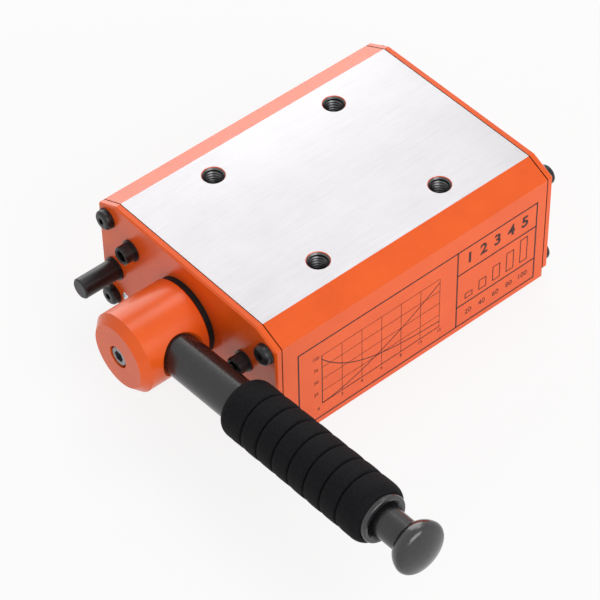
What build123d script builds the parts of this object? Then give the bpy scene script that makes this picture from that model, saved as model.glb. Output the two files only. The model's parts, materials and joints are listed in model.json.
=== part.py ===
"""Switchable magnetic base: a steel body with a turning magnet rotor inside, worked by a hand lever.

Millimetres. The origin is the centre of the pole face, the flat underside. +Z is up, the body's
length and the rotor's axis run along Y with the lever's hub at -Y, and the lever points to +X.
"""
import os
from math import asin, atan2, cos, degrees, hypot, radians, sin, sqrt

from build123d import *

os.makedirs("parts", exist_ok=True)

# Body
body_length = 153.0
body_width = 120.0
body_height = 67.0
top_chamfer_run = 12.3
top_chamfer_drop = 5.9
wall_thickness = 18.0
roof_thickness = 13.0
bottom_edge_chamfer = 1.0
top_hole_spacing_x = 70.0
top_hole_spacing_y = 70.0
top_hole_radius = 4.5
top_hole_depth = 10.5
top_hole_rim_chamfer = 1.0

# Magnet circuit inside the body
rotor_axis_depth = 29.4
rotor_radius = 20.5
rotor_running_gap = 0.5
rotor_magnet_thickness = 14.0
rotor_magnet_blocks = 3
stator_magnet_thickness = 8.0
stator_magnet_blocks = 3
pole_gap_width = 10.0
pole_gap_strip_clearance = 4.6
side_strip_height = 8.0
ceiling_spacer_thickness = 4.0
ceiling_spacer_side_gap = 0.5
glue_gap = 0.1

# Rotor ends and bearings
bearing_flange_thickness = 8.0
end_disc_thickness = 3.0
rotor_end_play = 0.3
shaft_radius = 8.0
shaft_running_gap = 0.05
shaft_plate_gap = 1.0
seat_gap = 0.02

# End plates and what fastens them
plate_thickness = 3.5
plate_bottom_height = 4.0
plate_corner_chamfer = 2.0
plate_rim_chamfer = 0.8
plate_joint_chamfer = 0.4
plate_screw_side_inset = 6.4
plate_screw_upper_inset = 10.5
plate_screw_lower_height = 9.5
screw_radius = 2.5
screw_length = 16.0
screw_hole_gap = 0.1
screw_head_radius = 4.75
screw_head_height = 2.75
screw_head_edge_radius = 1.6
screw_hex_width = 3.0
screw_hex_depth = 1.6
washer_radius = 5.0
washer_thickness = 1.0
dowel_radius = 2.2
dowel_length = 14.0
dowel_proud_height = 0.4
dowel_side_inset = 15.0
dowel_height = 13.4

# Keeper bushes and stop pin on the front plate
keeper_radius = 4.4
keeper_collar_radius = 5.2
keeper_reach = 6.4
keeper_bore_radius = 2.9
keeper_bore_depth = 5.6
keeper_mouth_chamfer = 0.6
keeper_left_angle = 163.4
pin_shank_radius = 3.5
pin_collar_thickness = 1.0
pin_edge_chamfer = 0.6
stop_pin_radius = 5.0
stop_pin_collar_radius = 5.8
stop_pin_reach = 20.0
stop_pin_side = -51.0
stop_pin_rise = 3.65

# Hub
hub_radius = 19.3
hub_length = 35.0
hub_front_chamfer = 3.8
hub_back_chamfer = 0.6
thrust_washer_thickness = 2.6
thrust_washer_radius = 18.8
thrust_washer_gap = 0.1
hub_screw_radius = 3.0
hub_screw_length = 16.0
hub_screw_head_radius = 4.9
hub_screw_head_height = 6.0
hub_screw_hex_width = 5.0
hub_screw_hex_depth = 3.0
hub_counterbore_radius = 5.45
hub_counterbore_depth = 6.5
hub_web_thickness = 2.8
hub_key_width = 5.0
hub_key_height = 5.0
hub_key_length = 14.0
hub_key_inset = 3.0
socket_mouth_chamfer = 1.2

# Lever
lever_rise_angle = 3.6
lever_standoff = 17.3
tube_radius = 9.7
tube_wall = 2.4
tube_start = 9.4
grip_start = 58.5
grip_length = 86.5
grip_radius = 13.9
grip_start_radius = 10.6
grip_cone_length = 5.0
grip_first_groove = 14.8
grip_groove_pitch = 9.85
grip_groove_count = 7
grip_groove_width = 1.2
grip_groove_depth = 1.1
grip_end_radius = 11.6
grip_end_run = 5.0
end_cap_reach = 2.5
end_cap_overlap = 3.0
end_cap_radius = 11.3
end_cap_lip_round = 0.9
end_cap_mouth_radius = 9.4
end_cap_mouth_depth = 2.2

# Push button, latch and spring
latch_distance = 39.0
button_travel = 8.0
latch_travel = 4.0
rod_running_gap = 0.05
rod_start = 30.0
neck_exposed_length = 13.4
knob_radius = 12.4
knob_rim_distance = 6.4
knob_back_radius = 9.8
knob_back_distance = 1.2
knob_side_bulge = 0.5
knob_edge_round = 3.2
knob_dome_radius = 24.0
knob_spigot_radius = 4.0
knob_spigot_length = 6.0
plunger_radius = 2.6
plunger_tail_depth = 1.5
plunger_nose_chamfer = 0.8
plunger_mouth_gap = 0.3
plunger_pin_radius = 1.2
plunger_pin_length = 12.0
latch_running_gap = 0.08
pin_entry_gap = 0.5
spring_seat_thickness = 3.0
spring_wire_radius = 0.5
spring_mean_radius = 5.4
spring_wire_sides = 6
spring_turns = 5

# Places that follow from the sizes above
half_length = body_length / 2
half_width = body_width / 2
half_top = half_width - top_chamfer_run
shoulder_height = body_height - top_chamfer_drop
rotor_axis_height = body_height - rotor_axis_depth
cavity_half_width = half_width - wall_thickness
ceiling_height = body_height - roof_thickness
pole_top = ceiling_height - ceiling_spacer_thickness
stator_inner = cavity_half_width - stator_magnet_thickness
bore_radius = rotor_radius + rotor_running_gap
pole_gap_strip_height = rotor_axis_height - bore_radius - pole_gap_strip_clearance
plate_screw_upper_height = body_height - plate_screw_upper_inset
stop_pin_height = (rotor_axis_height + plate_screw_lower_height) / 2 + stop_pin_rise
plate_front = -half_length - plate_thickness
hub_back = plate_front - thrust_washer_thickness - 2 * thrust_washer_gap
hub_front = hub_back - hub_length
shaft_end = hub_front + hub_counterbore_depth + hub_web_thickness
lever_depth = plate_front - lever_standoff
tube_bore = tube_radius - tube_wall
rod_radius = tube_bore - rod_running_gap
rotor_half = half_length - bearing_flange_thickness - rotor_end_play
core_half = rotor_half - end_disc_thickness
rotor_magnet_height = 2 * sqrt(rotor_radius**2 - (rotor_magnet_thickness / 2) ** 2)
grip_end = grip_start + grip_length
end_cap_end = grip_end + end_cap_reach
tube_end = end_cap_end - end_cap_mouth_depth
knob_start = end_cap_end + neck_exposed_length
plunger_nose = lever_standoff - keeper_reach - plunger_mouth_gap
plunger_pin_offset = latch_travel / 2
knob_rim = knob_start + knob_rim_distance
knob_dome_angle = asin((knob_radius - knob_edge_round) / (knob_dome_radius - knob_edge_round))
knob_dome_centre = knob_rim - (knob_dome_radius - knob_edge_round) * cos(knob_dome_angle)

# Planes and axes: the rotor turns about an axis along Y, the lever stands a little above X
axis_origin = Vector(0, 0, rotor_axis_height)
rotor_profile_plane = Plane(origin=axis_origin, x_dir=(1, 0, 0), z_dir=(0, 0, 1))
lever_direction = Vector(cos(radians(lever_rise_angle)), 0, sin(radians(lever_rise_angle)))
lever_up = Vector(-sin(radians(lever_rise_angle)), 0, cos(radians(lever_rise_angle)))
lever_origin = Vector(0, lever_depth, rotor_axis_height)
lever_axis = Axis(lever_origin, lever_direction)
lever_plane = Plane(origin=lever_origin, x_dir=lever_direction, z_dir=lever_up)


def facing(side, distance):
    """Plane across the body at a distance from its middle, facing outward: side -1 is the front."""
    return Plane(origin=(0, side * distance, 0), x_dir=(-side, 0, 0), z_dir=(0, side, 0))


def across_lever(distance):
    """Plane across the lever at a distance from the hub's axis, facing outward, local x along +Y."""
    return Plane(origin=lever_origin + lever_direction * distance, x_dir=(0, 1, 0), z_dir=lever_direction)


def through_tube_wall(depth, direction):
    """Plane where the latch crosses the lever, at a depth along +Y, facing a direction."""
    place = lever_origin + lever_direction * latch_distance + Vector(0, depth, 0)
    return Plane(origin=place, x_dir=lever_direction, z_dir=direction)


def keeper_place(angle):
    """Place of a keeper bush on the front plate, on the circle that the latch runs round."""
    turned = radians(angle)
    return (latch_distance * cos(turned), rotor_axis_height + latch_distance * sin(turned))


def save(part, label):
    """Label a finished piece and write it as a STEP file of that name."""
    part.label = label
    export_step(part, f"parts/{label}.step")


keeper_places = {"right": keeper_place(lever_rise_angle), "left": keeper_place(keeper_left_angle)}
stop_pin_place = (stop_pin_side, stop_pin_height)
screw_places = [
    (side * (half_width - plate_screw_side_inset), height)
    for side in (-1, 1)
    for height in (plate_screw_upper_height, plate_screw_lower_height)
]
dowel_places = [(side * (half_width - dowel_side_inset), dowel_height) for side in (-1, 1)]

# Housing: one steel body, open below for the pole shoes and bored from end to end for the rotor
with BuildPart() as magnet_housing:
    with BuildSketch(facing(-1, -half_length)):
        with BuildLine():
            Polyline(
                (-half_width, bottom_edge_chamfer),
                (-half_width, shoulder_height),
                (-half_top, body_height),
                (half_top, body_height),
                (half_width, shoulder_height),
                (half_width, bottom_edge_chamfer),
                (half_width - bottom_edge_chamfer, 0),
                (-half_width + bottom_edge_chamfer, 0),
                close=True,
            )
        make_face()
        with Locations((0, ceiling_height / 2)):
            Rectangle(2 * cavity_half_width, ceiling_height, mode=Mode.SUBTRACT)
        with Locations((0, rotor_axis_height)):
            Circle(bore_radius, mode=Mode.SUBTRACT)
    extrude(amount=body_length)
    with Locations((0, 0, body_height)):
        with GridLocations(top_hole_spacing_x, top_hole_spacing_y, 2, 2):
            CounterSinkHole(
                radius=top_hole_radius,
                counter_sink_radius=top_hole_radius + top_hole_rim_chamfer,
                depth=top_hole_depth,
                counter_sink_angle=90,
            )
    for side in (-1, 1):
        with BuildSketch(facing(side, half_length)):
            with Locations(*screw_places):
                Circle(screw_radius + screw_hole_gap)
        extrude(amount=-screw_length, mode=Mode.SUBTRACT)
        with BuildSketch(facing(side, half_length)):
            with Locations(*dowel_places):
                Circle(dowel_radius + seat_gap)
        extrude(amount=-dowel_length, mode=Mode.SUBTRACT)
save(magnet_housing.part, "magnet_housing")

# Pole shoes: bored by the rotor's bore, parted by the brass strip between them
for side, name in ((-1, "pole_left"), (1, "pole_right")):
    shoe_width = stator_inner - pole_gap_width / 2 - 2 * glue_gap
    with BuildPart() as pole_shoe:
        with BuildSketch(facing(-1, -half_length)):
            with Locations((side * (stator_inner + pole_gap_width / 2) / 2, (pole_top - glue_gap) / 2)):
                Rectangle(shoe_width, pole_top - glue_gap)
            with Locations((0, rotor_axis_height)):
                Circle(bore_radius, mode=Mode.SUBTRACT)
        extrude(amount=body_length)
    save(pole_shoe.part, name)

# Fixed magnets: a row of blocks on each side, between the housing's wall and a pole shoe
stator_block_pitch = body_length / stator_magnet_blocks
stator_block_height = pole_top - side_strip_height - 2 * glue_gap
for side, name in ((-1, "stator_magnets_left"), (1, "stator_magnets_right")):
    block_x = side * (stator_inner + cavity_half_width) / 2
    block_z = (pole_top + side_strip_height) / 2
    with BuildPart() as stator_magnets:
        with Locations((block_x, 0, block_z)):
            with GridLocations(1, stator_block_pitch, 1, stator_magnet_blocks):
                Box(stator_magnet_thickness - glue_gap, stator_block_pitch - glue_gap, stator_block_height)
    save(stator_magnets.part, name)

# Brass strips that keep the poles apart at the pole face, and spacers that keep them off the roof
with BuildPart() as pole_gap_strip:
    Box(pole_gap_width, body_length, pole_gap_strip_height, align=(Align.CENTER, Align.CENTER, Align.MIN))
save(pole_gap_strip.part, "pole_gap_strip")

with BuildPart() as side_gap_strips:
    with GridLocations(stator_inner + cavity_half_width, 1, 2, 1):
        Box(stator_magnet_thickness, body_length, side_strip_height, align=(Align.CENTER, Align.CENTER, Align.MIN))
save(side_gap_strips.part, "side_gap_strips")

with BuildPart() as ceiling_spacers:
    with BuildSketch(facing(-1, -half_length)):
        with Locations((0, ceiling_height - ceiling_spacer_thickness / 2)):
            Rectangle(2 * cavity_half_width, ceiling_spacer_thickness)
        with Locations((0, rotor_axis_height)):
            Circle(bore_radius + ceiling_spacer_side_gap, mode=Mode.SUBTRACT)
    extrude(amount=body_length)
save(ceiling_spacers.part, "ceiling_spacers")

# Rotor: two steel segments with magnet blocks between them, held by a disc with a journal at each end
for side, name in ((-1, "rotor_pole_a"), (1, "rotor_pole_b")):
    with BuildPart() as rotor_pole:
        with BuildSketch(facing(-1, -core_half)):
            with Locations((0, rotor_axis_height)):
                Circle(rotor_radius)
                Rectangle(rotor_magnet_thickness, 2 * rotor_radius, mode=Mode.SUBTRACT)
        extrude(amount=2 * core_half)
        split(bisect_by=Plane.YZ, keep=Keep.TOP if side > 0 else Keep.BOTTOM)
    save(rotor_pole.part, name)

rotor_block_pitch = 2 * core_half / rotor_magnet_blocks
with BuildPart() as rotor_magnets:
    with Locations((0, 0, rotor_axis_height)):
        with GridLocations(1, rotor_block_pitch, 1, rotor_magnet_blocks):
            Box(rotor_magnet_thickness, rotor_block_pitch - glue_gap, rotor_magnet_height)
save(rotor_magnets.part, "rotor_magnets")

key_start = -hub_back + hub_key_inset
key_height = rotor_axis_height - shaft_radius
with BuildPart() as rotor_front_shaft:
    with BuildSketch(rotor_profile_plane):
        with BuildLine():
            Polyline(
                (0, -core_half),
                (rotor_radius, -core_half),
                (rotor_radius, -rotor_half),
                (shaft_radius, -rotor_half),
                (shaft_radius, shaft_end),
                (0, shaft_end),
                close=True,
            )
        make_face()
    revolve(axis=Axis(axis_origin, (0, 1, 0)))
    with BuildSketch(facing(-1, -shaft_end)):
        with Locations((0, rotor_axis_height)):
            Circle(hub_screw_radius + seat_gap)
    extrude(amount=-hub_screw_length, mode=Mode.SUBTRACT)
    with BuildSketch(facing(-1, key_start)):
        with Locations((0, key_height)):
            Rectangle(hub_key_width, hub_key_height)
    extrude(amount=hub_key_length, mode=Mode.SUBTRACT)
save(rotor_front_shaft.part, "rotor_front_shaft")

with BuildPart() as rotor_rear_shaft:
    with BuildSketch(rotor_profile_plane):
        with BuildLine():
            Polyline(
                (0, core_half),
                (rotor_radius, core_half),
                (rotor_radius, rotor_half),
                (shaft_radius, rotor_half),
                (shaft_radius, half_length - rotor_end_play),
                (0, half_length - rotor_end_play),
                close=True,
            )
        make_face()
    revolve(axis=Axis(axis_origin, (0, 1, 0)))
save(rotor_rear_shaft.part, "rotor_rear_shaft")

for side, name in ((-1, "front_bearing_flange"), (1, "rear_bearing_flange")):
    with BuildPart() as bearing_flange:
        with BuildSketch(facing(side, half_length)):
            with Locations((0, rotor_axis_height)):
                Circle(bore_radius - seat_gap)
                Circle(shaft_radius + shaft_running_gap, mode=Mode.SUBTRACT)
        extrude(amount=-bearing_flange_thickness)
    save(bearing_flange.part, name)

# End plates, with the housing's outline above a clear strip at the pole face
for side, name in ((-1, "front_end_plate"), (1, "rear_end_plate")):
    with BuildPart() as end_plate:
        with BuildSketch(facing(side, half_length)):
            with BuildLine():
                Polyline(
                    (-half_width, plate_bottom_height + plate_corner_chamfer),
                    (-half_width, shoulder_height),
                    (-half_top, body_height),
                    (half_top, body_height),
                    (half_width, shoulder_height),
                    (half_width, plate_bottom_height + plate_corner_chamfer),
                    (half_width - plate_corner_chamfer, plate_bottom_height),
                    (-half_width + plate_corner_chamfer, plate_bottom_height),
                    close=True,
                )
            make_face()
        extrude(amount=plate_thickness)
        outer_face = end_plate.faces().sort_by(Axis.Y)[0 if side < 0 else -1]
        inner_face = end_plate.faces().sort_by(Axis.Y)[-1 if side < 0 else 0]
        chamfer(outer_face.outer_wire().edges(), length=plate_rim_chamfer)
        chamfer(inner_face.outer_wire().edges(), length=plate_joint_chamfer)
        with BuildSketch(facing(side, half_length)):
            with Locations(*screw_places):
                Circle(screw_radius + screw_hole_gap)
            with Locations(*dowel_places):
                Circle(dowel_radius + seat_gap)
            if side < 0:
                with Locations((0, rotor_axis_height)):
                    Circle(shaft_radius + shaft_plate_gap)
                with Locations(stop_pin_place, *keeper_places.values()):
                    Circle(pin_shank_radius + seat_gap)
        extrude(amount=plate_thickness, mode=Mode.SUBTRACT)
    save(end_plate.part, name)

# Plate screws with domed heads, each on a washer, and the dowel pins that line the plates up
washer_face = half_length + plate_thickness
head_face = washer_face + washer_thickness
for side, end_name in ((-1, "front"), (1, "rear")):
    with BuildPart() as plate_screws:
        with BuildSketch(facing(side, head_face)):
            with Locations(*screw_places):
                Circle(screw_head_radius)
        extrude(amount=screw_head_height)
        head_rims = plate_screws.edges().filter_by(GeomType.CIRCLE).group_by(Axis.Y)
        fillet(head_rims[0 if side < 0 else -1], radius=screw_head_edge_radius)
        with BuildSketch(facing(side, head_face + screw_head_height)):
            with Locations(*screw_places):
                RegularPolygon(screw_hex_width / 2, 6, major_radius=False)
        extrude(amount=-screw_hex_depth, mode=Mode.SUBTRACT)
        with BuildSketch(facing(side, head_face)):
            with Locations(*screw_places):
                Circle(screw_radius)
        extrude(amount=-screw_length)
    save(plate_screws.part, f"{end_name}_plate_screws")

    with BuildPart() as screw_washers:
        with BuildSketch(facing(side, washer_face)):
            with Locations(*screw_places):
                Circle(washer_radius)
                Circle(screw_radius + screw_hole_gap, mode=Mode.SUBTRACT)
        extrude(amount=washer_thickness)
    save(screw_washers.part, f"{end_name}_screw_washers")

    with BuildPart() as dowel_pins:
        with BuildSketch(facing(side, washer_face + dowel_proud_height)):
            with Locations(*dowel_places):
                Circle(dowel_radius)
        extrude(amount=-dowel_length)
        dowel_rims = dowel_pins.edges().filter_by(GeomType.CIRCLE).group_by(Axis.Y)
        chamfer(dowel_rims[0 if side < 0 else -1], length=dowel_proud_height)
    save(dowel_pins.part, f"{end_name}_dowel_pins")

# Keeper bushes: short collared pins, bored for the latch's nose, riveted into the front plate
for end_name, place in keeper_places.items():
    with BuildPart() as keeper_bush:
        with BuildSketch(facing(-1, half_length)):
            with Locations(place):
                Circle(pin_shank_radius)
        extrude(amount=plate_thickness)
        with BuildSketch(facing(-1, washer_face)):
            with Locations(place):
                Circle(keeper_radius)
        extrude(amount=keeper_reach)
        chamfer(keeper_bush.edges().filter_by(GeomType.CIRCLE).sort_by(Axis.Y)[0], length=pin_edge_chamfer)
        with BuildSketch(facing(-1, washer_face)):
            with Locations(place):
                Circle(keeper_collar_radius)
        extrude(amount=pin_collar_thickness)
        with BuildSketch(facing(-1, washer_face + keeper_reach)):
            with Locations(place):
                Circle(keeper_bore_radius)
        extrude(amount=-keeper_bore_depth, mode=Mode.SUBTRACT)
        mouth = keeper_bush.edges().filter_by(GeomType.CIRCLE).group_by(Axis.Y)[0].sort_by(SortBy.RADIUS)[0]
        chamfer(mouth, length=keeper_mouth_chamfer)
    save(keeper_bush.part, f"keeper_bush_{end_name}")

# Stop pin: long enough for the lever's tube to meet it when the rotor has turned over
with BuildPart() as handle_stop_pin:
    with BuildSketch(facing(-1, half_length)):
        with Locations(stop_pin_place):
            Circle(pin_shank_radius)
    extrude(amount=plate_thickness)
    with BuildSketch(facing(-1, washer_face)):
        with Locations(stop_pin_place):
            Circle(stop_pin_radius)
    extrude(amount=stop_pin_reach)
    chamfer(handle_stop_pin.edges().filter_by(GeomType.CIRCLE).sort_by(Axis.Y)[0], length=pin_edge_chamfer)
    with BuildSketch(facing(-1, washer_face)):
        with Locations(stop_pin_place):
            Circle(stop_pin_collar_radius)
    extrude(amount=pin_collar_thickness)
save(handle_stop_pin.part, "handle_stop_pin")

# Hub: keyed and screwed to the rotor's front shaft, with a socket for the lever's tube
with BuildPart() as hub_thrust_washer:
    with BuildSketch(facing(-1, washer_face + thrust_washer_gap)):
        with Locations((0, rotor_axis_height)):
            Circle(thrust_washer_radius)
            Circle(shaft_radius + shaft_plate_gap, mode=Mode.SUBTRACT)
    extrude(amount=thrust_washer_thickness)
save(hub_thrust_washer.part, "hub_thrust_washer")

with BuildPart() as handle_hub:
    with BuildSketch(rotor_profile_plane):
        with BuildLine():
            Polyline(
                (shaft_radius + seat_gap, hub_back),
                (hub_radius - hub_back_chamfer, hub_back),
                (hub_radius, hub_back - hub_back_chamfer),
                (hub_radius, hub_front + hub_front_chamfer),
                (hub_radius - hub_front_chamfer, hub_front),
                (hub_counterbore_radius, hub_front),
                (hub_counterbore_radius, hub_front + hub_counterbore_depth),
                (hub_screw_radius + screw_hole_gap, hub_front + hub_counterbore_depth),
                (hub_screw_radius + screw_hole_gap, shaft_end),
                (shaft_radius + seat_gap, shaft_end),
                close=True,
            )
        make_face()
    revolve(axis=Axis(axis_origin, (0, 1, 0)))
    with BuildSketch(facing(-1, key_start)):
        with Locations((0, key_height)):
            Rectangle(hub_key_width, hub_key_height)
    extrude(amount=hub_key_length, mode=Mode.SUBTRACT)
    with BuildSketch(across_lever(tube_start)):
        Circle(tube_radius + seat_gap)
    extrude(amount=hub_radius, mode=Mode.SUBTRACT)
    chamfer(handle_hub.edges().filter_by(GeomType.BSPLINE), length=socket_mouth_chamfer)
save(handle_hub.part, "handle_hub")

with BuildPart() as hub_key:
    with BuildSketch(facing(-1, key_start + seat_gap)):
        with Locations((0, key_height)):
            Rectangle(hub_key_width - 2 * seat_gap, hub_key_height - 2 * seat_gap)
    extrude(amount=hub_key_length - 2 * seat_gap)
save(hub_key.part, "hub_key")

hub_screw_seat = -hub_front - hub_counterbore_depth
with BuildPart() as hub_screw:
    with BuildSketch(facing(-1, hub_screw_seat)):
        with Locations((0, rotor_axis_height)):
            Circle(hub_screw_head_radius)
    extrude(amount=hub_screw_head_height)
    chamfer(hub_screw.edges().filter_by(GeomType.CIRCLE).sort_by(Axis.Y)[0], length=pin_edge_chamfer)
    with BuildSketch(facing(-1, hub_screw_seat + hub_screw_head_height)):
        with Locations((0, rotor_axis_height)):
            RegularPolygon(hub_screw_hex_width / 2, 6, major_radius=False)
    extrude(amount=-hub_screw_hex_depth, mode=Mode.SUBTRACT)
    with BuildSketch(facing(-1, hub_screw_seat)):
        with Locations((0, rotor_axis_height)):
            Circle(hub_screw_radius)
    extrude(amount=-hub_screw_length)
save(hub_screw.part, "hub_screw")

# Lever: a tube with a hole for the latch in its back wall and one below for fitting the cross pin
with BuildPart() as handle_tube:
    with BuildSketch(across_lever(tube_start)):
        Circle(tube_radius)
        Circle(tube_bore, mode=Mode.SUBTRACT)
    extrude(amount=tube_end - tube_start)
    with BuildSketch(through_tube_wall(0, (0, 1, 0))):
        Circle(plunger_radius + latch_running_gap)
    extrude(amount=2 * tube_radius, mode=Mode.SUBTRACT)
    with BuildSketch(through_tube_wall(plunger_pin_offset, -lever_up)):
        Circle(plunger_pin_radius + pin_entry_gap)
    extrude(amount=2 * tube_radius, mode=Mode.SUBTRACT)
save(handle_tube.part, "handle_tube")

# Grip: a foam sleeve with a short cone at the hub's end, narrow grooves and a rounded far end
grip_end_drop = grip_radius - grip_end_radius
with BuildPart() as handle_grip:
    with BuildSketch(lever_plane):
        with BuildLine():
            Polyline(
                (grip_end - grip_end_run, grip_radius),
                (grip_start + grip_cone_length, grip_radius),
                (grip_start, grip_start_radius),
                (grip_start, tube_radius + seat_gap),
                (grip_end, tube_radius + seat_gap),
                (grip_end, grip_end_radius),
            )
            RadiusArc(
                (grip_end, grip_end_radius),
                (grip_end - grip_end_run, grip_radius),
                -(grip_end_run**2 + grip_end_drop**2) / (2 * grip_end_drop),
            )
        make_face()
        for index in range(grip_groove_count):
            with Locations((grip_start + grip_first_groove + index * grip_groove_pitch, grip_radius)):
                Rectangle(grip_groove_width, 2 * grip_groove_depth, mode=Mode.SUBTRACT)
    revolve(axis=lever_axis)
    with BuildSketch(across_lever(grip_end)):
        Circle(end_cap_radius + seat_gap)
    extrude(amount=-end_cap_overlap, mode=Mode.SUBTRACT)
save(handle_grip.part, "handle_grip")

# End cap: a ring over the tube's end with a funnel mouth round the button's rod
with BuildPart() as tube_end_cap:
    with BuildSketch(lever_plane):
        with BuildLine():
            Polyline(
                (grip_end - end_cap_overlap, tube_radius + seat_gap),
                (grip_end - end_cap_overlap, end_cap_radius),
                (end_cap_end, end_cap_radius),
                (end_cap_end, end_cap_mouth_radius),
                (tube_end, tube_bore),
                (tube_end, tube_radius + seat_gap),
                close=True,
            )
        make_face()
    revolve(axis=lever_axis)
    rim = tube_end_cap.edges().filter_by(GeomType.CIRCLE).group_by(Axis(lever_origin, lever_direction))[-1]
    fillet(rim.sort_by(SortBy.RADIUS)[-1], radius=end_cap_lip_round)
save(tube_end_cap.part, "tube_end_cap")

# Button rod: carries the knob, and two cheeks with inclined slots that draw the latch back
slot_length = button_travel + 2 * (plunger_radius + latch_running_gap)
slot_centre = latch_distance + button_travel / 2
with BuildPart() as button_rod:
    with BuildSketch(across_lever(rod_start)):
        Circle(rod_radius)
    extrude(amount=knob_start - rod_start)
    with BuildSketch(across_lever(knob_start)):
        Circle(knob_spigot_radius)
    extrude(amount=knob_spigot_length)
    with BuildSketch(lever_plane):
        with Locations((slot_centre, 0)):
            Rectangle(slot_length, 4 * rod_radius)
    extrude(amount=plunger_radius + latch_running_gap, both=True, mode=Mode.SUBTRACT)
    with BuildSketch(lever_plane):
        with Locations((slot_centre, 0)):
            SlotCenterToCenter(
                hypot(button_travel, latch_travel),
                2 * (plunger_pin_radius + latch_running_gap),
                rotation=-degrees(atan2(latch_travel, button_travel)),
            )
    extrude(amount=2 * rod_radius, both=True, mode=Mode.SUBTRACT)
save(button_rod.part, "button_rod")

with BuildPart() as button_knob:
    with BuildSketch(lever_plane):
        with BuildLine():
            Polyline(
                (knob_dome_centre + knob_dome_radius, 0),
                (knob_start + knob_spigot_length + seat_gap, 0),
                (knob_start + knob_spigot_length + seat_gap, knob_spigot_radius + seat_gap),
                (knob_start, knob_spigot_radius + seat_gap),
                (knob_start, rod_radius),
                (knob_start + knob_back_distance, knob_back_radius),
            )
            SagittaArc(
                (knob_start + knob_back_distance, knob_back_radius), (knob_rim, knob_radius), knob_side_bulge
            )
            CenterArc(
                center=(knob_rim, knob_radius - knob_edge_round),
                radius=knob_edge_round,
                start_angle=90,
                arc_size=degrees(knob_dome_angle) - 90,
            )
            CenterArc(
                center=(knob_dome_centre, 0),
                radius=knob_dome_radius,
                start_angle=degrees(knob_dome_angle),
                arc_size=-degrees(knob_dome_angle),
            )
        make_face()
    revolve(axis=lever_axis)
save(button_knob.part, "button_knob")

# Latch: a plunger that leaves the tube towards the plate, worked by its cross pin in the rod's slots
with BuildPart() as latch_plunger:
    with BuildSketch(through_tube_wall(-plunger_tail_depth, (0, 1, 0))):
        Circle(plunger_radius)
    extrude(amount=plunger_nose + plunger_tail_depth)
    chamfer(latch_plunger.edges().filter_by(GeomType.CIRCLE).sort_by(Axis.Y)[-1], length=plunger_nose_chamfer)
    with BuildSketch(through_tube_wall(plunger_pin_offset, lever_up)):
        Circle(plunger_pin_radius + seat_gap)
    extrude(amount=2 * plunger_radius, both=True, mode=Mode.SUBTRACT)
save(latch_plunger.part, "latch_plunger")

with BuildPart() as plunger_pin:
    with BuildSketch(through_tube_wall(plunger_pin_offset, lever_up)):
        Circle(plunger_pin_radius)
    extrude(amount=plunger_pin_length / 2, both=True)
save(plunger_pin.part, "plunger_pin")

# Return spring and its seat at the hub's end of the tube
spring_start = tube_start + spring_seat_thickness + spring_wire_radius
spring_height = rod_start - spring_wire_radius - spring_start
with BuildPart() as spring_seat:
    with BuildSketch(across_lever(tube_start)):
        Circle(tube_bore - seat_gap)
    extrude(amount=spring_seat_thickness)
save(spring_seat.part, "spring_seat")

with BuildPart() as button_spring:
    with BuildLine() as spring_path:
        Helix(
            pitch=spring_height / spring_turns,
            height=spring_height,
            radius=spring_mean_radius,
            center=lever_origin + lever_direction * spring_start,
            direction=lever_direction,
        )
    with BuildSketch(Plane(origin=spring_path.line @ 0, z_dir=spring_path.line % 0)):
        RegularPolygon(spring_wire_radius, spring_wire_sides)
    sweep(path=spring_path.line, is_frenet=True)
save(button_spring.part, "button_spring")
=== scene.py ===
"""Looks of the switchable magnetic base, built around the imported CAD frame. Metres, +Z up."""
import json
import math

import bpy
from mathutils import Euler, Matrix, Vector, noise as perlin


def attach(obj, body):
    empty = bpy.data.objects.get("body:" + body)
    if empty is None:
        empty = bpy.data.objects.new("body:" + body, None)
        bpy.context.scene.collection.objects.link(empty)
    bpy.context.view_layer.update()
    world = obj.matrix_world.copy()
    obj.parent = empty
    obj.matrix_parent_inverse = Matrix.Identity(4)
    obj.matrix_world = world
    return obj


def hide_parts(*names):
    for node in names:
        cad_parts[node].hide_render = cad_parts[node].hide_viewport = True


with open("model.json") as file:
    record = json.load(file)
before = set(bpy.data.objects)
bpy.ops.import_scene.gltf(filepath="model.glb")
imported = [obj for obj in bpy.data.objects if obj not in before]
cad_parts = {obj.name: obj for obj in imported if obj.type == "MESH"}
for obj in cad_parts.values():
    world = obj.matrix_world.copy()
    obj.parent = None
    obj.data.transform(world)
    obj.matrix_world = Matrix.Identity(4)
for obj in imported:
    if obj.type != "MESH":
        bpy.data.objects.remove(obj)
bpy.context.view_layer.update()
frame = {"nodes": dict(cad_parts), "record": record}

MM = 0.001

# Camera, solved from the body's corners in the photograph
CAMERA_PLACE = (0.6616, -0.5667, 0.9003)
CAMERA_TURN = (43.78, 0.88, 49.33)
CAMERA_LENS = 165.6
CAMERA_SENSOR = 36.0

# Sizes that the looks share with the construction
BODY_HEIGHT = 67.0 * MM
BODY_HALF_WIDTH = 60.0 * MM
BODY_HALF_LENGTH = 76.5 * MM
JOINT_GROOVE = 0.42 * MM
HOLE_OFFSET = 35.0 * MM
HOLE_RADIUS = 4.5 * MM
HOLE_RIM_RADIUS = 5.5 * MM
LEVER_RISE = math.radians(3.6)
LEVER_ORIGIN = Vector((0, -97.3 * MM, 37.6 * MM))
LEVER_DIRECTION = Vector((math.cos(LEVER_RISE), 0, math.sin(LEVER_RISE)))
LEVER_UP = Vector((-math.sin(LEVER_RISE), 0, math.cos(LEVER_RISE)))
LEVER_SIDE = Vector((0, 1, 0))
TUBE_RADIUS = 9.7 * MM

# Thread in the top holes
THREAD_PITCH = 1.5 * MM
THREAD_TOP = 65.9 * MM
THREAD_DEPTH = 9.0 * MM
THREAD_CREST_RADIUS = 4.05 * MM
THREAD_STEPS = 48

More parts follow.
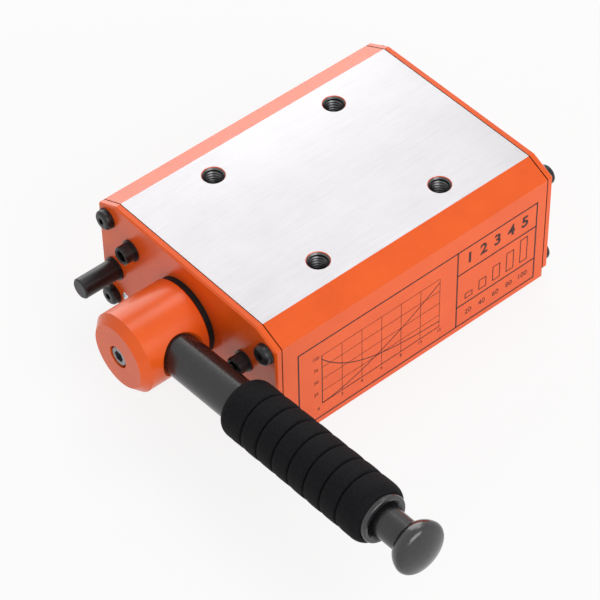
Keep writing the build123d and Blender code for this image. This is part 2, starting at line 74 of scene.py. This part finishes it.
# Foam grip
GRIP_START = 58.5 * MM
GRIP_END = 145.0 * MM
GRIP_RADIUS = 13.6 * MM
GRIP_START_RADIUS = 10.6 * MM
GRIP_START_RUN = 4.5 * MM
GRIP_END_RADIUS = 11.6 * MM
GRIP_END_RUN = 5.0 * MM
GRIP_BORE = TUBE_RADIUS + 0.02 * MM
GRIP_CAP_BORE = 11.32 * MM
GRIP_CAP_OVERLAP = 3.0 * MM
GRIP_CROWN = 0.35 * MM
GROOVES = [(73.3 + 9.85 * index) * MM for index in range(7)]
GROOVE_HALF_WIDTH = 0.8 * MM
GROOVE_DEPTH = 1.25 * MM
GRIP_SEGMENTS = 120
GRIP_STEP = 0.5 * MM
FOAM_LUMP = 0.1 * MM

# Printed panel on the right side: a ruled frame, a chart and plain numbers
PRINT_THICKNESS = 0.06 * MM
PRINT_SINK = 0.02 * MM
PANEL_LEFT, PANEL_RIGHT = -68.0 * MM, 71.0 * MM
PANEL_BOTTOM, PANEL_TOP = 4.2 * MM, 50.8 * MM
PANEL_DIVIDER = 23.4 * MM
PANEL_ROWS = (36.4 * MM, 16.4 * MM)
FRAME_LINE = 0.75 * MM
CHART_LINE = 0.45 * MM
GRID_LINE = 0.22 * MM


# Shader helpers
def new_material(name):
    """Empty node material with a Principled shader wired to the output."""
    material = bpy.data.materials.new(name)
    material.use_nodes = True
    nodes = material.node_tree.nodes
    return material, nodes, material.node_tree.links, nodes["Principled BSDF"]


def noise(nodes, links, coords, scale, detail=3.0, rough=0.55, stretch=(1, 1, 1)):
    """Noise texture on object coordinates, in waves per metre, optionally stretched."""
    mapping = nodes.new("ShaderNodeMapping")
    mapping.inputs["Scale"].default_value = stretch
    links.new(coords, mapping.inputs["Vector"])
    texture = nodes.new("ShaderNodeTexNoise")
    texture.inputs["Scale"].default_value = scale
    texture.inputs["Detail"].default_value = detail
    texture.inputs["Roughness"].default_value = rough
    links.new(mapping.outputs["Vector"], texture.inputs["Vector"])
    return texture.outputs["Fac"]


def ramp(nodes, links, value, stops):
    """Colour ramp from a list of (position, colour)."""
    node = nodes.new("ShaderNodeValToRGB")
    elements = node.color_ramp.elements
    while len(elements) < len(stops):
        elements.new(0.5)
    for element, (position, colour) in zip(elements, stops):
        element.position = position
        element.color = (*colour, 1.0)
    links.new(value, node.inputs["Fac"])
    return node.outputs["Color"]


def spread(nodes, links, value, low, high):
    """Map a 0 to 1 value to a range."""
    node = nodes.new("ShaderNodeMapRange")
    node.inputs["To Min"].default_value = low
    node.inputs["To Max"].default_value = high
    links.new(value, node.inputs["Value"])
    return node.outputs["Result"]


def bump(nodes, links, height, distance, strength, below=None):
    """Bump node that can be stacked on another."""
    node = nodes.new("ShaderNodeBump")
    node.inputs["Distance"].default_value = distance
    node.inputs["Strength"].default_value = strength
    links.new(height, node.inputs["Height"])
    if below is not None:
        links.new(below, node.inputs["Normal"])
    return node.outputs["Normal"]


def object_coords(nodes):
    return nodes.new("ShaderNodeTexCoord").outputs["Object"]


def multiply(nodes, links, first, second):
    node = nodes.new("ShaderNodeMath")
    node.operation = "MULTIPLY"
    links.new(first, node.inputs[0])
    links.new(second, node.inputs[1])
    return node.outputs["Value"]


def compare(nodes, links, value, operation, limit):
    """1 where a value is GREATER_THAN or LESS_THAN a limit, else 0."""
    node = nodes.new("ShaderNodeMath")
    node.operation = operation
    node.inputs[1].default_value = limit
    links.new(value, node.inputs[0])
    return node.outputs["Value"]


def either(nodes, links, first, second):
    node = nodes.new("ShaderNodeMath")
    node.operation = "MAXIMUM"
    links.new(first, node.inputs[0])
    links.new(second, node.inputs[1])
    return node.outputs["Value"]


def absolute_place(nodes, links, coords):
    """Absolute object coordinates, split into X, Y and Z."""
    absolute = nodes.new("ShaderNodeVectorMath")
    absolute.operation = "ABSOLUTE"
    links.new(coords, absolute.inputs[0])
    split = nodes.new("ShaderNodeSeparateXYZ")
    links.new(absolute.outputs["Vector"], split.inputs["Vector"])
    return absolute.outputs["Vector"], split.outputs


def blend_shader(nodes, links, share, first, second):
    mix = nodes.new("ShaderNodeMixShader")
    links.new(share, mix.inputs["Fac"])
    links.new(first, mix.inputs[1])
    links.new(second, mix.inputs[2])
    return mix.outputs["Shader"]


def paint_surface(nodes, links, coords, shader):
    """Sprayed gloss paint: faint mottling, orange peel and uneven gloss."""
    mottling = noise(nodes, links, coords, 60.0)
    links.new(ramp(nodes, links, mottling, [(0.3, ORANGE_SHADE), (0.7, ORANGE)]), shader.inputs["Base Color"])
    gloss = noise(nodes, links, coords, 240.0, detail=4.0)
    links.new(spread(nodes, links, gloss, 0.2, 0.3), shader.inputs["Roughness"])
    shader.inputs["Specular IOR Level"].default_value = 0.38
    peel = noise(nodes, links, coords, 600.0, detail=2.0)
    grain = noise(nodes, links, coords, 2600.0, detail=2.0)
    peel_normal = bump(nodes, links, peel, 0.00006, 0.16)
    links.new(bump(nodes, links, grain, 0.00003, 0.22, peel_normal), shader.inputs["Normal"])


def joint_shade_shader(nodes):
    """Painted shade: near-black line that stands in for the shadow in the gap where a plate meets the housing."""
    shade_line = nodes.new("ShaderNodeBsdfPrincipled")
    shade_line.inputs["Base Color"].default_value = (0.012, 0.006, 0.005, 1)
    shade_line.inputs["Roughness"].default_value = 0.8
    shade_line.inputs["Specular IOR Level"].default_value = 0.1
    return shade_line.outputs["BSDF"]


def painted(name):
    """Orange paint, with painted shade: near black in the groove where a plate meets the housing."""
    material, nodes, links, shader = new_material(name)
    coords = object_coords(nodes)
    paint_surface(nodes, links, coords, shader)
    _, place = absolute_place(nodes, links, coords)
    # Painted shade: the groove faces get the near-black shader in place of the gap's shadow.
    in_groove = multiply(
        nodes,
        links,
        compare(nodes, links, place["Y"], "GREATER_THAN", BODY_HALF_LENGTH - 0.1 * MM),
        compare(nodes, links, place["Y"], "LESS_THAN", BODY_HALF_LENGTH + JOINT_GROOVE),
    )
    surface = blend_shader(nodes, links, in_groove, shader.outputs["BSDF"], joint_shade_shader(nodes))
    links.new(surface, nodes["Material Output"].inputs["Surface"])
    return material


def metal(name, colour, shade, roughness, grain=(1, 1, 1), grain_scale=900.0, grain_depth=0.3):
    """Bare or oxided metal with directional grain."""
    material, nodes, links, shader = new_material(name)
    coords = object_coords(nodes)
    cloud = noise(nodes, links, coords, 45.0, detail=4.0)
    links.new(ramp(nodes, links, cloud, [(0.3, shade), (0.7, colour)]), shader.inputs["Base Color"])
    lines = noise(nodes, links, coords, grain_scale, detail=4.0, stretch=grain)
    links.new(spread(nodes, links, lines, roughness - 0.08, roughness + 0.08), shader.inputs["Roughness"])
    links.new(bump(nodes, links, lines, 0.00004, grain_depth), shader.inputs["Normal"])
    shader.inputs["Metallic"].default_value = 1.0
    return material


def dark_coating(name, colour, roughness, fleck=0.25, specular=0.5):
    """Black oxide, lacquer or plastic: dark, with fine grain in its gloss."""
    material, nodes, links, shader = new_material(name)
    coords = object_coords(nodes)
    grain = noise(nodes, links, coords, 900.0, detail=3.0)
    lighter = tuple(1.7 * part + 0.004 for part in colour)
    links.new(ramp(nodes, links, grain, [(0.35, colour), (0.75, lighter)]), shader.inputs["Base Color"])
    links.new(spread(nodes, links, grain, roughness - 0.05, roughness + 0.07), shader.inputs["Roughness"])
    links.new(bump(nodes, links, grain, 0.00004, fleck), shader.inputs["Normal"])
    shader.inputs["Specular IOR Level"].default_value = specular
    return material


def thread_surface(nodes, links, coords):
    """Cut thread: steel coloured near black, as painted shade inside the holes."""
    steel = nodes.new("ShaderNodeBsdfPrincipled")
    steel.inputs["Metallic"].default_value = 1.0
    cloud = noise(nodes, links, coords, 300.0, detail=4.0)
    colour = ramp(nodes, links, cloud, [(0.3, (0.05, 0.05, 0.052)), (0.75, (0.16, 0.16, 0.165))])
    links.new(colour, steel.inputs["Base Color"])
    links.new(spread(nodes, links, cloud, 0.25, 0.4), steel.inputs["Roughness"])
    return steel.outputs["BSDF"]


def ground_surface(nodes, links, coords):
    """Ground steel: fine straight grain, faint clouds and speckle."""
    steel = nodes.new("ShaderNodeBsdfPrincipled")
    steel.inputs["Metallic"].default_value = 1.0
    cloud = noise(nodes, links, coords, 22.0, detail=6.0, rough=0.6)
    lines = noise(nodes, links, coords, 1500.0, detail=3.0, stretch=(1.0, 0.04, 1.0))
    speckle = noise(nodes, links, coords, 1600.0, detail=2.0)
    tone = multiply(nodes, links, spread(nodes, links, cloud, 0.8, 1.15), spread(nodes, links, lines, 0.8, 1.1))
    colour = ramp(nodes, links, tone, [(0.55, (0.38, 0.37, 0.385)), (1.0, (0.52, 0.51, 0.525))])
    links.new(colour, steel.inputs["Base Color"])
    links.new(spread(nodes, links, lines, 0.26, 0.38), steel.inputs["Roughness"])
    grain_normal = bump(nodes, links, lines, 0.00003, 0.4)
    links.new(bump(nodes, links, speckle, 0.00003, 0.3, grain_normal), steel.inputs["Normal"])
    return steel.outputs["BSDF"]


def housing_material():
    """Orange paint, with the top and the pole face ground bright and the holes' walls painted dark as shade."""
    material, nodes, links, paint = new_material("housing_paint_and_ground_steel")
    coords = object_coords(nodes)
    paint_surface(nodes, links, coords, paint)
    vector, place = absolute_place(nodes, links, coords)

    # Painted shade: a thin near-black band at the housing's ends, for the shadow of the joint with the plates.
    at_joint = multiply(
        nodes,
        links,
        compare(nodes, links, place["Y"], "GREATER_THAN", BODY_HALF_LENGTH - 0.12 * MM),
        compare(nodes, links, place["Y"], "LESS_THAN", BODY_HALF_LENGTH - 0.001 * MM),
    )
    sides = blend_shader(nodes, links, at_joint, paint.outputs["BSDF"], joint_shade_shader(nodes))
    ground = either(
        nodes,
        links,
        compare(nodes, links, place["Z"], "GREATER_THAN", BODY_HEIGHT - 0.02 * MM),
        compare(nodes, links, place["Z"], "LESS_THAN", 0.02 * MM),
    )
    faces = blend_shader(nodes, links, ground, sides, ground_surface(nodes, links, coords))

    from_hole = nodes.new("ShaderNodeVectorMath")
    from_hole.operation = "SUBTRACT"
    from_hole.inputs[1].default_value = (HOLE_OFFSET, HOLE_OFFSET, 0)
    links.new(vector, from_hole.inputs[0])
    flat = nodes.new("ShaderNodeVectorMath")
    flat.operation = "MULTIPLY"
    flat.inputs[1].default_value = (1, 1, 0)
    links.new(from_hole.outputs["Vector"], flat.inputs[0])
    distance = nodes.new("ShaderNodeVectorMath")
    distance.operation = "LENGTH"
    links.new(flat.outputs["Vector"], distance.inputs[0])
    # Painted shade: the walls of the top holes take the near-black thread colour.
    in_hole = multiply(
        nodes,
        links,
        compare(nodes, links, distance.outputs["Value"], "LESS_THAN", HOLE_RIM_RADIUS - 0.02 * MM),
        compare(nodes, links, place["Z"], "LESS_THAN", BODY_HEIGHT - 0.3 * MM),
    )
    surface = blend_shader(nodes, links, in_hole, faces, thread_surface(nodes, links, coords))
    links.new(surface, nodes["Material Output"].inputs["Surface"])
    return material


def thread_material():
    material, nodes, links, _ = new_material("cut_thread")
    links.new(thread_surface(nodes, links, object_coords(nodes)), nodes["Material Output"].inputs["Surface"])
    return material


ORANGE = (0.95, 0.125, 0.011)
ORANGE_SHADE = (0.88, 0.108, 0.009)
materials = {
    "orange_paint": painted("orange_paint_sprayed"),
    "black_oxide": dark_coating("black_oxide_steel", (0.007, 0.007, 0.008), 0.34, specular=0.4),
    "bright_steel": metal("bright_pin_steel", (0.75, 0.75, 0.76), (0.65, 0.65, 0.66), 0.25),
    "black_nylon": dark_coating("black_nylon", (0.004, 0.004, 0.004), 0.6, specular=0.2),
    "pole_steel": metal("ground_pole_steel", (0.52, 0.52, 0.53), (0.42, 0.42, 0.43), 0.38, (0.05, 1, 1)),
    "magnet_alloy": metal("nickel_plated_magnet", (0.6, 0.6, 0.61), (0.5, 0.5, 0.51), 0.3),
    "brass": metal("brass", (0.72, 0.5, 0.2), (0.62, 0.42, 0.16), 0.33, (1, 0.05, 1)),
    "shaft_steel": metal("turned_shaft_steel", (0.6, 0.6, 0.61), (0.5, 0.5, 0.51), 0.32, (1, 0.2, 1)),
    "black_lacquer": dark_coating("black_lacquered_steel", (0.008, 0.008, 0.009), 0.25, fleck=0.15, specular=0.6),
    "foam_rubber": dark_coating("foam_rubber", (0.004, 0.004, 0.005), 0.75, fleck=0.9, specular=0.12),
    "black_gloss": dark_coating("black_gloss_plastic", (0.012, 0.012, 0.014), 0.2, fleck=0.05, specular=0.7),
    "spring_steel": metal("spring_steel", (0.6, 0.6, 0.62), (0.5, 0.5, 0.52), 0.28),
}
slot_of_node = {entry["node"]: entry["material_slot"] for entry in frame["record"]["subparts"]}
for node, piece in frame["nodes"].items():
    piece.data.materials.clear()
    piece.data.materials.append(materials[slot_of_node[node]])
frame["nodes"]["magnet_housing"].data.materials[0] = housing_material()
burnished = metal("burnished_screw_head", (0.34, 0.34, 0.35), (0.24, 0.24, 0.25), 0.36)
frame["nodes"]["hub_screw"].data.materials[0] = burnished


# Pieces that only the looks hold
def mesh_piece(name, points, faces, material, smooth=True):
    """New object from points and faces, with one material."""
    mesh = bpy.data.meshes.new(name)
    mesh.from_pydata([tuple(point) for point in points], [], faces)
    mesh.materials.append(material)
    for polygon in mesh.polygons:
        polygon.use_smooth = smooth
    mesh.validate()
    mesh.update()
    piece = bpy.data.objects.new(name, mesh)
    bpy.context.collection.objects.link(piece)
    return piece


def ring_faces(rows, columns, closed_rows):
    """Quads of a grid that is closed round its columns, and round its rows too where asked."""
    faces = []
    for row in range(rows if closed_rows else rows - 1):
        for column in range(columns):
            beside = (column + 1) % columns
            below = (row + 1) % rows
            faces.append((row * columns + column, row * columns + beside, below * columns + beside, below * columns + column))
    return faces


def hole_thread(name, centre_x, centre_y, material):
    """Helical ridge of a tapped hole, closed at both ends."""
    section = [(HOLE_RADIUS, 0.62 * MM), (THREAD_CREST_RADIUS, 0.1 * MM), (THREAD_CREST_RADIUS, -0.1 * MM), (HOLE_RADIUS, -0.62 * MM)]
    steps = int(THREAD_STEPS * THREAD_DEPTH / THREAD_PITCH)
    points = []
    for step in range(steps + 1):
        turn = 2 * math.pi * step / THREAD_STEPS
        height = THREAD_TOP - 0.7 * MM - THREAD_PITCH * step / THREAD_STEPS
        for radius, lift in section:
            points.append((centre_x + radius * math.cos(turn), centre_y - radius * math.sin(turn), height + lift))
    faces = ring_faces(steps + 1, len(section), closed_rows=False)
    faces.append((3, 2, 1, 0))
    faces.append(tuple(steps * len(section) + index for index in range(len(section))))
    return mesh_piece(name, points, faces, material, smooth=False)


# The thread ridges take the same near-black colour, painted shade inside the holes.
cut_thread = thread_material()
for index, (side_x, side_y) in enumerate(((-1, -1), (1, -1), (-1, 1), (1, 1))):
    thread = hole_thread(f"hole_thread_{index + 1}", side_x * HOLE_OFFSET, side_y * HOLE_OFFSET, cut_thread)
    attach(thread, "base")


def quarter_rise(share):
    """Rise of an elliptic quarter round, from 0 to 1."""
    share = min(max(share, 0.0), 1.0)
    return math.sqrt(1 - (1 - share) ** 2)


def grip_outline(distance):
    """Outer radius of the foam along the lever: rounded ends, crowned rings and V grooves."""
    radius = GRIP_START_RADIUS
    radius += (GRIP_RADIUS - GRIP_START_RADIUS) * quarter_rise((distance - GRIP_START) / GRIP_START_RUN)
    radius -= (GRIP_RADIUS - GRIP_END_RADIUS) * (1 - quarter_rise((GRIP_END - distance) / GRIP_END_RUN))
    edges = [GRIP_START] + GROOVES + [GRIP_END]
    for near, far in zip(edges, edges[1:]):
        if near <= distance <= far:
            share = (distance - near) / (far - near)
            radius += GRIP_CROWN * (1 - (2 * share - 1) ** 4)
    for groove in GROOVES:
        away = abs(distance - groove) / GROOVE_HALF_WIDTH
        if away < 1:
            radius -= GROOVE_DEPTH * (1 - away) ** 1.3
    return radius


def grip_stations():
    """Distances along the lever at which the foam has a ring of points, dense at the grooves and ends."""
    count = round((GRIP_END - GRIP_START) / GRIP_STEP)
    stations = {round(GRIP_START + index * GRIP_STEP, 6) for index in range(count + 1)}
    for groove in GROOVES:
        stations = {place for place in stations if abs(place - groove) > GROOVE_HALF_WIDTH}
        for share in (0, 0.12, 0.3, 0.55, 0.8, 1.0, 1.3):
            stations.add(round(groove + share * GROOVE_HALF_WIDTH, 6))
            stations.add(round(groove - share * GROOVE_HALF_WIDTH, 6))
    for share in (0.02, 0.06, 0.12, 0.2):
        stations.add(round(GRIP_START + share * GRIP_START_RUN, 6))
        stations.add(round(GRIP_END - share * GRIP_END_RUN, 6))
    return sorted(stations)


def foam_grip(material):
    """Closed foam sleeve round the tube, a little uneven as moulded foam is."""
    cap_face = GRIP_END - GRIP_CAP_OVERLAP
    loop = [(distance, grip_outline(distance), True) for distance in grip_stations()]
    loop += [(GRIP_END, GRIP_CAP_BORE, False), (cap_face, GRIP_CAP_BORE, False)]
    loop += [(cap_face, GRIP_BORE, False), (GRIP_START, GRIP_BORE, False)]
    points = []
    for distance, radius, outer in loop:
        for column in range(GRIP_SEGMENTS):
            turn = 2 * math.pi * column / GRIP_SEGMENTS
            outward = LEVER_UP * math.cos(turn) + LEVER_SIDE * math.sin(turn)
            point = LEVER_ORIGIN + LEVER_DIRECTION * distance + outward * radius
            if outer:
                lump = perlin.noise(point * 120.0) + 0.5 * perlin.noise(point * 420.0)
                point += outward * FOAM_LUMP * lump
            points.append(point)
    return mesh_piece("foam_grip", points, ring_faces(len(loop), GRIP_SEGMENTS, closed_rows=True), material)


grip = foam_grip(materials["foam_rubber"])
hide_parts("handle_grip")
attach(grip, "lever")


# Printed panel
def panel_point(across, up, lift):
    return Vector((BODY_HALF_WIDTH + lift, across, up))


def stroke(points, faces, line, width, closed=False):
    """Adds a flat printed line with mitred corners, as a closed thin solid, to a panel's points and faces."""
    count = len(line)
    first = len(points)
    for index, (across, up) in enumerate(line):
        before = Vector(line[index - 1]) if index or closed else None
        after = Vector(line[(index + 1) % count]) if index < count - 1 or closed else None
        here = Vector((across, up))
        into = (here - before).normalized() if before is not None else (after - here).normalized()
        out = (after - here).normalized() if after is not None else into
        along = (into + out).normalized()
        normal = Vector((-along.y, along.x)) * (width / 2) / max(0.3, along.dot(into))
        for side, lift in ((1, PRINT_THICKNESS), (-1, PRINT_THICKNESS), (-1, -PRINT_SINK), (1, -PRINT_SINK)):
            place = here + normal * side
            points.append(panel_point(place.x, place.y, lift))
    for index in range(count if closed else count - 1):
        here = first + 4 * index
        there = first + 4 * ((index + 1) % count)
        for corner in range(4):
            beside = (corner + 1) % 4
            faces.append((here + corner, here + beside, there + beside, there + corner))
    if not closed:
        last = first + 4 * (count - 1)
        faces.append((first + 3, first + 2, first + 1, first))
        faces.append((last, last + 1, last + 2, last + 3))


def number(points, faces, digits, across, up, height, bold=0.0):
    """Adds plain digits, centred on a place of the panel, to its points and faces."""
    curve = bpy.data.curves.new("digits", "FONT")
    curve.body = digits
    curve.size = height / 0.72
    curve.align_x = "CENTER"
    curve.align_y = "CENTER"
    curve.offset = bold
    curve.extrude = (PRINT_THICKNESS + PRINT_SINK) / 2
    curve.resolution_u = 4
    text = bpy.data.objects.new("digits", curve)
    bpy.context.collection.objects.link(text)
    mesh = bpy.data.meshes.new_from_object(text.evaluated_get(bpy.context.evaluated_depsgraph_get()))
    first = len(points)
    middle = (PRINT_THICKNESS - PRINT_SINK) / 2
    for vertex in mesh.vertices:
        points.append(panel_point(across + vertex.co.x, up + vertex.co.y, middle + vertex.co.z))
    for polygon in mesh.polygons:
        faces.append(tuple(first + index for index in polygon.vertices))
    bpy.data.objects.remove(text)
    bpy.data.curves.remove(curve)
    bpy.data.meshes.remove(mesh)


def chart(points, faces, left, bottom, width, height):
    """Chart with two smooth curves over a fine grid, with plain numbers on both axes."""
    columns, rows = 6, 4
    for column in range(1, columns + 1):
        across = left + width * column / columns
        stroke(points, faces, [(across, bottom), (across, bottom + height)], GRID_LINE)
        number(points, faces, str(2 * column), across, bottom - 2.4 * MM, 1.9 * MM)
    for row in range(1, rows + 1):
        up = bottom + height * row / rows
        stroke(points, faces, [(left, up), (left + width, up)], GRID_LINE)
        number(points, faces, str(25 * row), left - 3.4 * MM, up, 1.9 * MM)
    number(points, faces, "0", left - 2.2 * MM, bottom - 2.4 * MM, 1.9 * MM)
    stroke(points, faces, [(left, bottom + height), (left, bottom), (left + width, bottom)], CHART_LINE)
    steps = 28
    shares = [index / steps for index in range(steps + 1)]
    rising = [(left + width * t, bottom + height * 0.93 * t**1.6) for t in shares]
    falling = [(left + width * t, bottom + height * (0.08 + 0.84 * math.exp(-3.2 * t))) for t in shares]
    stroke(points, faces, rising, CHART_LINE)
    stroke(points, faces, falling, CHART_LINE)


def bars(points, faces, left, right, bottom, top, count):
    """Row of bars that grow in even steps."""
    pitch = (right - left) / count
    for index in range(count):
        middle = left + (index + 0.5) * pitch
        height = (top - bottom) * (index + 1) / count
        box = [(middle - pitch / 4, bottom), (middle + pitch / 4, bottom)]
        box += [(middle + pitch / 4, bottom + height), (middle - pitch / 4, bottom + height)]
        stroke(points, faces, box, CHART_LINE, closed=True)


def ink_material():
    material, nodes, links, shader = new_material("dark_brown_ink")
    coords = object_coords(nodes)
    grain = noise(nodes, links, coords, 1500.0, detail=2.0)
    links.new(ramp(nodes, links, grain, [(0.3, (0.035, 0.006, 0.005)), (0.75, (0.06, 0.01, 0.008))]), shader.inputs["Base Color"])
    links.new(spread(nodes, links, grain, 0.35, 0.5), shader.inputs["Roughness"])
    shader.inputs["Specular IOR Level"].default_value = 0.3
    return material


def side_panel():
    points, faces = [], []
    outline = [(PANEL_LEFT, PANEL_BOTTOM), (PANEL_RIGHT, PANEL_BOTTOM), (PANEL_RIGHT, PANEL_TOP), (PANEL_LEFT, PANEL_TOP)]
    stroke(points, faces, outline, FRAME_LINE, closed=True)
    stroke(points, faces, [(PANEL_DIVIDER, PANEL_BOTTOM), (PANEL_DIVIDER, PANEL_TOP)], FRAME_LINE)
    for row in PANEL_ROWS:
        stroke(points, faces, [(PANEL_DIVIDER, row), (PANEL_RIGHT, row)], FRAME_LINE)
    chart(points, faces, PANEL_LEFT + 13 * MM, PANEL_BOTTOM + 8 * MM, 68 * MM, 30 * MM)
    cell_left, cell_right = PANEL_DIVIDER + 3 * MM, PANEL_RIGHT - 3 * MM
    pitch = (cell_right - cell_left) / 5
    for index in range(5):
        middle = cell_left + (index + 0.5) * pitch
        number(points, faces, str(index + 1), middle, (PANEL_TOP + PANEL_ROWS[0]) / 2, 6.2 * MM, bold=0.25 * MM)
        number(points, faces, str(20 * (index + 1)), middle, (PANEL_BOTTOM + PANEL_ROWS[1]) / 2, 3.0 * MM)
    bars(points, faces, cell_left, cell_right, PANEL_ROWS[1] + 3 * MM, PANEL_ROWS[0] - 3 * MM, 5)
    return mesh_piece("side_print", points, faces, ink_material(), smooth=False)


print_piece = side_panel()
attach(print_piece, "base")


# Stage: camera, lights and floor
def aim(obj, target):
    """Turn a light so that it faces a target point."""
    direction = Vector(target) - obj.location
    obj.rotation_euler = direction.to_track_quat("-Z", "Y").to_euler()


def area_light(name, place, target, size, power):
    data = bpy.data.lights.new(name, "AREA")
    data.shape = "RECTANGLE"
    data.size, data.size_y = size
    data.energy = power
    light = bpy.data.objects.new(name, data)
    light.location = place
    bpy.context.collection.objects.link(light)
    aim(light, target)
    return light


camera_data = bpy.data.cameras.new("camera")
camera_data.lens = CAMERA_LENS
camera_data.sensor_width = CAMERA_SENSOR
camera_data.clip_end = 10.0
camera = bpy.data.objects.new("camera", camera_data)
camera.location = CAMERA_PLACE
camera.rotation_euler = Euler([math.radians(turn) for turn in CAMERA_TURN], "XYZ")
bpy.context.collection.objects.link(camera)
bpy.context.scene.camera = camera

area_light("back_left_panel", (-0.92, 0.43, 0.41), (0, 0, 0.05), (0.7, 0.9), 4.6)
area_light("top_softbox", (-0.2, 0.44, 0.99), (0, 0, 0.05), (0.4, 0.4), 1.6)
area_light("right_key", (0.98, -0.09, 0.69), (0, 0, 0.03), (0.8, 0.6), 6.1)

world = bpy.data.worlds.new("studio")
bpy.context.scene.world = world
world.use_nodes = True
world_nodes = world.node_tree.nodes
world_links = world.node_tree.links
background = world_nodes["Background"]
background.inputs["Color"].default_value = (1, 1, 1, 1)
paths = world_nodes.new("ShaderNodeLightPath")
seen = world_nodes.new("ShaderNodeMath")
seen.operation = "MAXIMUM"
world_links.new(paths.outputs["Is Camera Ray"], seen.inputs[0])
world_links.new(paths.outputs["Is Glossy Ray"], seen.inputs[1])
also_seen = world_nodes.new("ShaderNodeMath")
also_seen.operation = "MAXIMUM"
world_links.new(seen.outputs["Value"], also_seen.inputs[0])
world_links.new(paths.outputs["Is Transmission Ray"], also_seen.inputs[1])
level = world_nodes.new("ShaderNodeMapRange")
level.inputs["To Min"].default_value = 0.45
level.inputs["To Max"].default_value = 1.0
world_links.new(also_seen.outputs["Value"], level.inputs["Value"])
world_links.new(level.outputs["Result"], background.inputs["Strength"])

floor_mesh = bpy.data.meshes.new("floor")
half_floor = 3.0
floor_mesh.from_pydata(
    [(-half_floor, -half_floor, 0), (half_floor, -half_floor, 0), (half_floor, half_floor, 0), (-half_floor, half_floor, 0)],
    [],
    [(0, 1, 2, 3)],
)
floor = bpy.data.objects.new("floor", floor_mesh)
bpy.context.collection.objects.link(floor)
floor_material, floor_nodes, floor_links, floor_shader = new_material("white_floor")
floor_shader.inputs["Base Color"].default_value = (0.85, 0.85, 0.85, 1)
floor_shader.inputs["Roughness"].default_value = 0.7
floor_glow = floor_nodes.new("ShaderNodeEmission")
floor_paths = floor_nodes.new("ShaderNodeLightPath")
floor_add = floor_nodes.new("ShaderNodeMixShader")
floor_seen = either(floor_nodes, floor_links, floor_paths.outputs["Is Camera Ray"], floor_paths.outputs["Is Glossy Ray"])
floor_share = floor_nodes.new("ShaderNodeMath")
floor_share.operation = "MULTIPLY"
floor_share.inputs[1].default_value = 0.86
floor_links.new(floor_seen, floor_share.inputs[0])
floor_links.new(floor_share.outputs["Value"], floor_add.inputs["Fac"])
floor_links.new(floor_shader.outputs["BSDF"], floor_add.inputs[1])
floor_links.new(floor_glow.outputs["Emission"], floor_add.inputs[2])
floor_links.new(floor_add.outputs["Shader"], floor_nodes["Material Output"].inputs["Surface"])
floor_mesh.materials.append(floor_material)

bpy.context.scene.view_settings.view_transform = "Standard"
